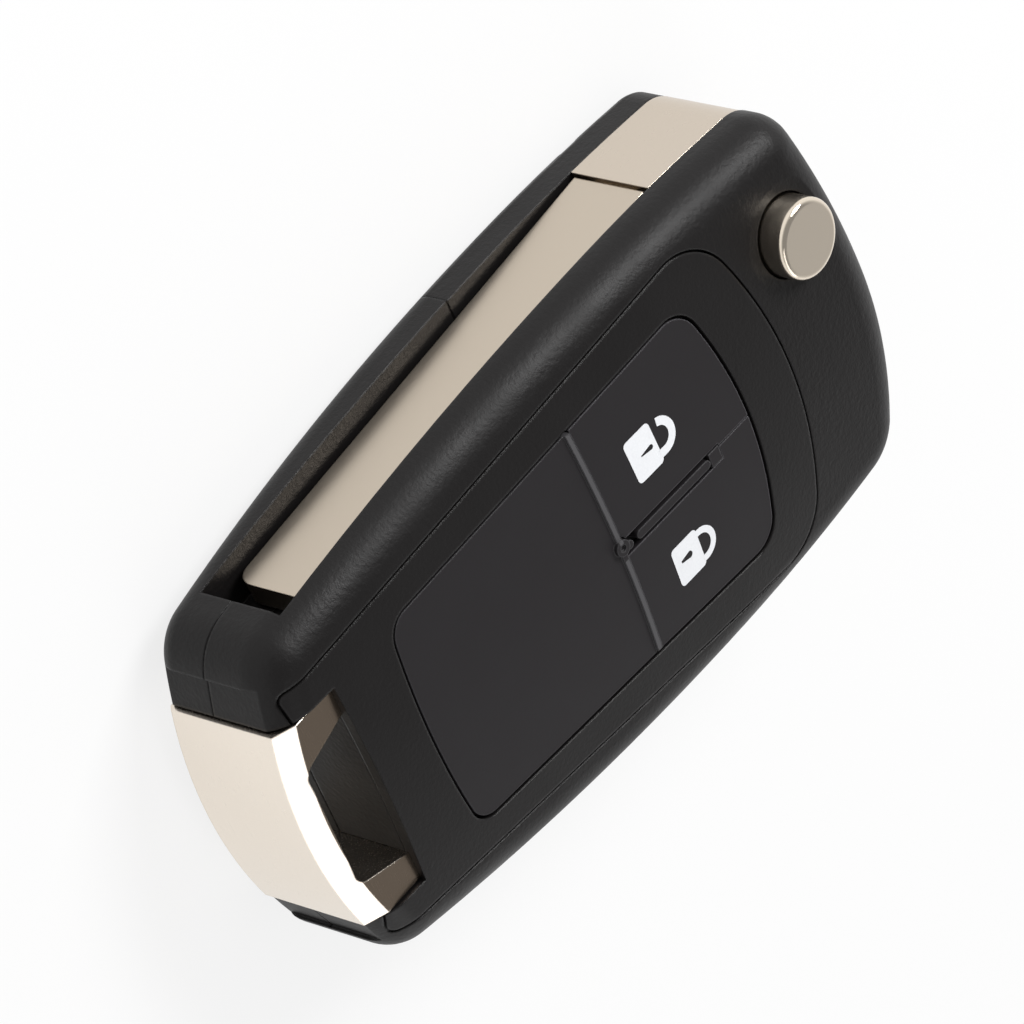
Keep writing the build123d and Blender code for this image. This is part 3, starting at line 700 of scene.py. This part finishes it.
class FOB_OT_stage(bpy.types.Operator):
    """Make the pale floor, the soft lamps, the white world and the camera"""

    bl_idname = "fob.stage"
    bl_label = "Stage, light and camera"

    def execute(self, context):
        chosen = settings()
        self.make_floor(chosen)
        self.make_world(chosen)
        self.make_lamps()
        self.make_camera(chosen)
        context.scene.view_settings.view_transform = "Standard"
        return {"FINISHED"}

    def make_floor(self, chosen):
        """White paper: it takes a soft shadow, and otherwise looks as white as the room."""
        level = CAD_BOX[0].z - FLOOR_DROP
        signs = ((-1, -1), (1, -1), (1, 1), (-1, 1))
        corners = [(FLOOR_HALF * x, FLOOR_HALF * y, level) for x, y in signs]
        mesh = bpy.data.meshes.new("floor")
        mesh.from_pydata(corners, [], [(0, 1, 2, 3)])
        floor = link_object("floor", mesh)
        material, tree, _, shader = new_material(
            "floor_white_paper", "f4f4f4", metallic=0.0, roughness=0.9
        )
        white = add_node(
            tree,
            "ShaderNodeEmission",
            inputs={"Color": (*chosen.backdrop, 1.0), "Strength": 1.0},
        )
        paper = white_to_the_eye(
            tree, shader.outputs["BSDF"], white.outputs[0], FLOOR_WHITE_SHARE
        )
        output = next(node for node in tree.nodes if node.type == "OUTPUT_MATERIAL")
        tree.links.new(paper, output.inputs["Surface"])
        floor.data.materials.append(material)

    def make_world(self, chosen):
        """A white room that lights evenly, and is seen with a ceiling that darkens upward."""
        world = bpy.data.worlds.new("white_room")
        bpy.context.scene.world = world
        world.use_nodes = True
        tree = world.node_tree
        tree.nodes.clear()
        room = add_node(
            tree,
            "ShaderNodeBackground",
            inputs={"Color": (1.0, 1.0, 1.0, 1.0), "Strength": ROOM_STRENGTH},
        )
        direction = add_node(tree, "ShaderNodeTexCoord").outputs["Generated"]
        height = add_node(tree, "ShaderNodeSeparateXYZ", links={"Vector": direction}).outputs["Z"]
        ceiling = add_node(
            tree,
            "ShaderNodeMapRange",
            inputs={"From Min": 0.3, "From Max": 0.75, "To Min": 1.0, "To Max": 0.3},
            links={"Value": height},
        ).outputs["Result"]
        white = add_node(
            tree,
            "ShaderNodeBackground",
            inputs={"Color": (*chosen.backdrop, 1.0)},
            links={"Strength": ceiling},
        )
        seen = white_to_the_eye(tree, room.outputs[0], white.outputs[0], share=1.0)
        add_node(tree, "ShaderNodeOutputWorld", links={"Surface": seen})

    def make_lamps(self):
        """A lamp for the sheen along the shoulder, and one that the bail's chamfer mirrors."""
        area_light("shoulder_lamp", place=(-0.36, 0.31, 0.43), size=(0.28, 0.24), watts=3.0)
        area_light(
            "bail_lamp",
            place=(0.385, -0.16, 0.453),
            size=(0.2, 0.7),
            watts=0.64,
            roll=math.radians(37),
        )

    def make_camera(self, chosen):
        azimuth = chosen.camera_azimuth
        elevation = chosen.camera_elevation
        back = Vector(
            (
                math.sin(azimuth) * math.cos(elevation),
                -math.cos(azimuth) * math.cos(elevation),
                math.sin(elevation),
            )
        )
        level = Vector((math.cos(azimuth), math.sin(azimuth), 0.0))
        upright = back.cross(level)
        right = level * math.cos(chosen.camera_roll) + upright * math.sin(chosen.camera_roll)
        up = back.cross(right)
        data = bpy.data.cameras.new("camera")
        data.lens = chosen.lens
        data.sensor_width = 36.0
        data.clip_start, data.clip_end = 0.01, 20.0
        camera = link_object("camera", data)
        camera.rotation_mode = "QUATERNION"
        camera.rotation_quaternion = Matrix((right, up, back)).transposed().to_quaternion()
        camera.location = CAMERA_TARGET + back * chosen.camera_distance
        bpy.context.scene.camera = camera


class FOB_PT_sidebar(bpy.types.Panel):
    """Lists the steps that dress the key fob"""

    bl_idname = "FOB_PT_sidebar"
    bl_label = "Key Fob Shell"
    bl_space_type = "VIEW_3D"
    bl_region_type = "UI"
    bl_category = "Key Fob"

    def draw(self, context):
        for step in STEPS:
            self.layout.operator(step.bl_idname)
        for name in FobSettings.__annotations__:
            self.layout.prop(context.scene.fob_settings, name)


STEPS = (FOB_OT_case, FOB_OT_pad, FOB_OT_metal, FOB_OT_symbols, FOB_OT_stage)
CLASSES = (FobSettings, *STEPS, FOB_PT_sidebar)


def register():
    for made in CLASSES:
        bpy.utils.register_class(made)
    bpy.types.Scene.fob_settings = PointerProperty(type=FobSettings)


def unregister():
    del bpy.types.Scene.fob_settings
    for made in reversed(CLASSES):
        bpy.utils.unregister_class(made)


def main():
    register()
    bpy.ops.fob.case()
    bpy.ops.fob.pad()
    bpy.ops.fob.metal()
    bpy.ops.fob.symbols()
    bpy.ops.fob.stage()


if __name__ == "__main__":
    main()
